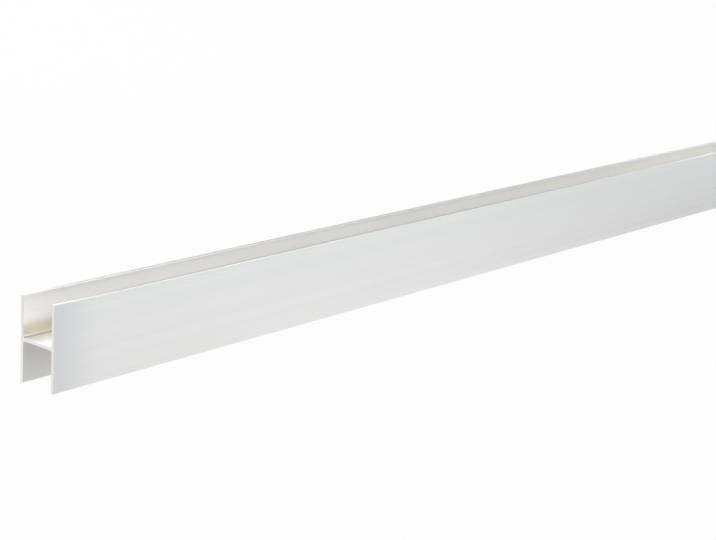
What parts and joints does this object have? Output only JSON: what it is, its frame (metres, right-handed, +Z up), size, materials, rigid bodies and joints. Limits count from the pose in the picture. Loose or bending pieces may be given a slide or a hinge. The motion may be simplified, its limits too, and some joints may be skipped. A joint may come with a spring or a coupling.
{
  "type": "aluminium h-section extrusion",
  "caption": "Straight extruded H-section in mill-finish aluminium: upright flanges joined by a level web, forming back-to-back channels that join panels edge to edge.",
  "frame": {"origin": "middle of the base, half way along the length and midway between the flanges, on the plane that the flange edges stand on", "axes": "+X along the length, +Y across from flange to flange, +Z up the flanges; the web is level"},
  "size_m": [1, 0.0196, 0.0355],
  "materials": {
    "mill_aluminium": "satin mill finish with fine die lines along the length and sawn ends"
  },
  "bodies": {
    "root": {"h_profile": "mill_aluminium"}
  },
  "joints": []
}
